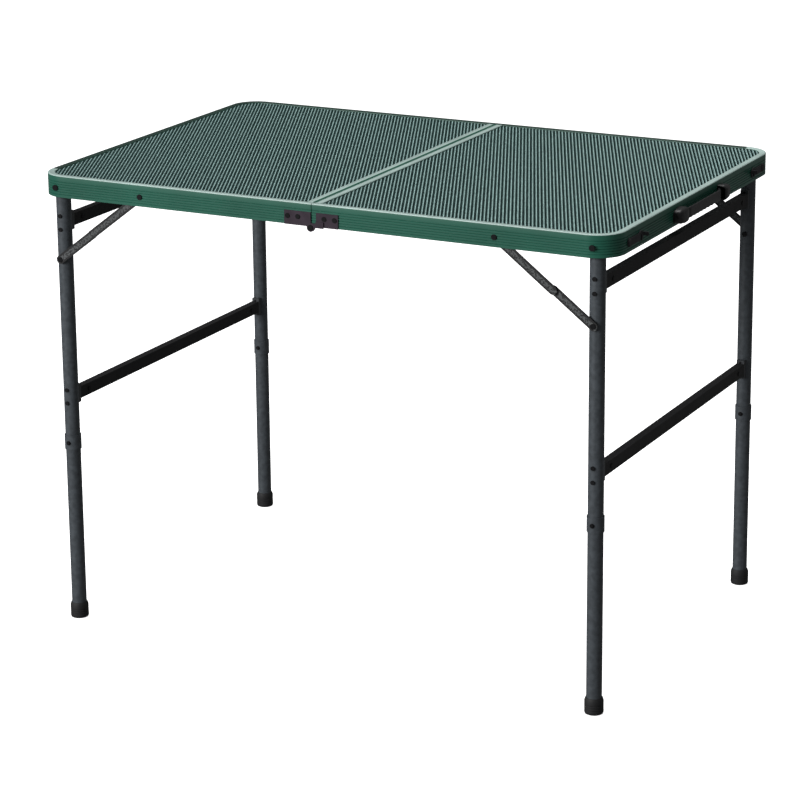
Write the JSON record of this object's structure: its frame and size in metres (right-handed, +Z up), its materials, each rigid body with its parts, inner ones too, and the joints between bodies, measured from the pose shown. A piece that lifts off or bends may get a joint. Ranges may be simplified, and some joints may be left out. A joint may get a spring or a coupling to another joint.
{
  "type": "folding camp kitchen table",
  "caption": "Folding camp kitchen table: two mesh-topped halves on a case hinge, braced folding leg frames, plug-in extension legs with rubber feet, end latches and a carrying handle.",
  "frame": {"origin": "on the floor, under the middle of the whole outline, handle blocks and keeper studs included", "axes": "+X along the table towards the carrying handle, +Y towards the back, +Z up"},
  "size_m": [0.918, 0.609, 0.68],
  "materials": {
    "frame_paint": "satin green paint over a ribbed aluminium edge",
    "mesh_paint": "dark green powder coat on expanded metal",
    "rib_paint": "dark green powder coat",
    "leg_paint": "satin charcoal powder coat",
    "brace_paint": "satin charcoal powder coat",
    "rivet_steel": "plated rivets and screws",
    "hinge_steel": "dark plated hinge steel",
    "latch_steel": "plated spring steel",
    "saddle_plastic": "moulded grey nylon",
    "ferrule_plastic": "moulded black nylon",
    "foot_rubber": "matt black rubber",
    "handle_plastic": "moulded black plastic"
  },
  "bodies": {
    "left_top": {"left_edge_frame": "frame_paint", "left_fold_rail": "frame_paint", "left_mesh_panel": "mesh_paint", "left_centre_rib": "rib_paint", "left_frame_rivets": "rivet_steel", "left_frame_pivots": "rivet_steel", "left_hinge_leaves": "hinge_steel", "latch_keepers": "rivet_steel", "hinge_pins": "rivet_steel"},
    "right_top": {"right_edge_frame": "frame_paint", "right_fold_rail": "frame_paint", "right_mesh_panel": "mesh_paint", "right_centre_rib": "rib_paint", "right_frame_rivets": "rivet_steel", "right_frame_pivots": "rivet_steel", "right_hinge_leaves": "hinge_steel", "latch_pivots": "rivet_steel", "handle_mounts": "handle_plastic", "handle_screws": "rivet_steel"},
    "left_leg_frame": {"left_leg_tube_front": "leg_paint", "left_leg_tube_back": "leg_paint", "left_upper_crossbar": "leg_paint", "left_lower_crossbar": "leg_paint", "left_crossbar_saddles": "saddle_plastic", "left_crossbar_fasteners": "rivet_steel", "left_ferrules": "ferrule_plastic", "left_brace_leg_pins": "rivet_steel"},
    "left_upper_brace_links": {"left_upper_brace_link_front": "brace_paint", "left_upper_brace_link_back": "brace_paint"},
    "left_lower_brace_links": {"left_lower_brace_link_front": "brace_paint", "left_lower_brace_link_back": "brace_paint"},
    "left_front_extension_leg": {"left_front_extension_tube": "leg_paint", "left_front_foot": "foot_rubber"},
    "left_front_button": {"left_front_button": "ferrule_plastic"},
    "left_back_extension_leg": {"left_back_extension_tube": "leg_paint", "left_back_foot": "foot_rubber"},
    "left_back_button": {"left_back_button": "ferrule_plastic"},
    "right_leg_frame": {"right_leg_tube_front": "leg_paint", "right_leg_tube_back": "leg_paint", "right_upper_crossbar": "leg_paint", "right_lower_crossbar": "leg_paint", "right_crossbar_saddles": "saddle_plastic", "right_crossbar_fasteners": "rivet_steel", "right_ferrules": "ferrule_plastic", "right_brace_leg_pins": "rivet_steel"},
    "right_upper_brace_links": {"right_upper_brace_link_front": "brace_paint", "right_upper_brace_link_back": "brace_paint"},
    "right_lower_brace_links": {"right_lower_brace_link_front": "brace_paint", "right_lower_brace_link_back": "brace_paint"},
    "right_front_extension_leg": {"right_front_extension_tube": "leg_paint", "right_front_foot": "foot_rubber"},
    "right_front_button": {"right_front_button": "ferrule_plastic"},
    "right_back_extension_leg": {"right_back_extension_tube": "leg_paint", "right_back_foot": "foot_rubber"},
    "right_back_button": {"right_back_button": "ferrule_plastic"},
    "front_latch": {"latch_lever_front": "latch_steel"},
    "back_latch": {"latch_lever_back": "latch_steel"},
    "carry_handle": {"handle_grip": "handle_plastic"}
  },
  "joints": [
    {"name": "table_fold", "type": "hinge", "parent": "left_top", "child": "right_top", "pos_m": [-0.005, 0, 0.647], "axis": [0, 1, 0], "range_deg": [0, 60]},
    {"name": "left_legs_fold", "type": "hinge", "parent": "left_top", "child": "left_leg_frame", "pos_m": [-0.424, 0, 0.662], "axis": [0, 1, 0], "range_deg": [-84, 0]},
    {"name": "left_upper_brace_turn", "type": "hinge", "parent": "left_top", "child": "left_upper_brace_links", "pos_m": [-0.282, 0, 0.662], "axis": [0, 1, 0], "range_deg": [-0.1, 36.4]},
    {"name": "left_lower_brace_turn", "type": "hinge", "parent": "left_leg_frame", "child": "left_lower_brace_links", "pos_m": [-0.424, 0, 0.554], "axis": [0, 1, 0], "range_deg": [-51.5, 0.1]},
    {"name": "left_front_leg_unplug", "type": "slide", "parent": "left_leg_frame", "child": "left_front_extension_leg", "axis": [0, 0, -1], "range_m": [0, 0.15]},
    {"name": "left_front_button_press", "type": "slide", "parent": "left_leg_frame", "child": "left_front_button", "axis": [0, 1, 0], "range_m": [0, 0.002], "stiffness_N_per_m": 300},
    {"name": "left_back_leg_unplug", "type": "slide", "parent": "left_leg_frame", "child": "left_back_extension_leg", "axis": [0, 0, -1], "range_m": [0, 0.15]},
    {"name": "left_back_button_press", "type": "slide", "parent": "left_leg_frame", "child": "left_back_button", "axis": [0, 1, 0], "range_m": [0, 0.002], "stiffness_N_per_m": 300},
    {"name": "right_legs_fold", "type": "hinge", "parent": "right_top", "child": "right_leg_frame", "pos_m": [0.414, 0, 0.662], "axis": [0, 1, 0], "range_deg": [0, 84]},
    {"name": "right_upper_brace_turn", "type": "hinge", "parent": "right_top", "child": "right_upper_brace_links", "pos_m": [0.272, 0, 0.662], "axis": [0, 1, 0], "range_deg": [-36.4, 0.1]},
    {"name": "right_lower_brace_turn", "type": "hinge", "parent": "right_leg_frame", "child": "right_lower_brace_links", "pos_m": [0.414, 0, 0.554], "axis": [0, 1, 0], "range_deg": [-0.1, 51.5]},
    {"name": "right_front_leg_unplug", "type": "slide", "parent": "right_leg_frame", "child": "right_front_extension_leg", "axis": [0, 0, -1], "range_m": [0, 0.15]},
    {"name": "right_front_button_press", "type": "slide", "parent": "right_leg_frame", "child": "right_front_button", "axis": [0, 1, 0], "range_m": [0, 0.002], "stiffness_N_per_m": 300},
    {"name": "right_back_leg_unplug", "type": "slide", "parent": "right_leg_frame", "child": "right_back_extension_leg", "axis": [0, 0, -1], "range_m": [0, 0.15]},
    {"name": "right_back_button_press", "type": "slide", "parent": "right_leg_frame", "child": "right_back_button", "axis": [0, 1, 0], "range_m": [0, 0.002], "stiffness_N_per_m": 300},
    {"name": "front_latch_turn", "type": "hinge", "parent": "right_top", "child": "front_latch", "pos_m": [0.445, -0.25, 0.662], "axis": [-1, 0, 0], "range_deg": [0, 90]},
    {"name": "back_latch_turn", "type": "hinge", "parent": "right_top", "child": "back_latch", "pos_m": [0.445, 0.25, 0.662], "axis": [1, 0, 0], "range_deg": [0, 90]},
    {"name": "handle_pull", "type": "slide", "parent": "right_top", "child": "carry_handle", "axis": [1, 0, 0], "range_m": [0, 0.006]}
  ],
  "couplings": [
    {"joint": "left_upper_brace_turn", "follows": "left_legs_fold", "ratio": -0.4311},
    {"joint": "left_lower_brace_turn", "follows": "left_legs_fold", "ratio": 0.6107},
    {"joint": "right_upper_brace_turn", "follows": "right_legs_fold", "ratio": -0.4311},
    {"joint": "right_lower_brace_turn", "follows": "right_legs_fold", "ratio": 0.6107}
  ]
}
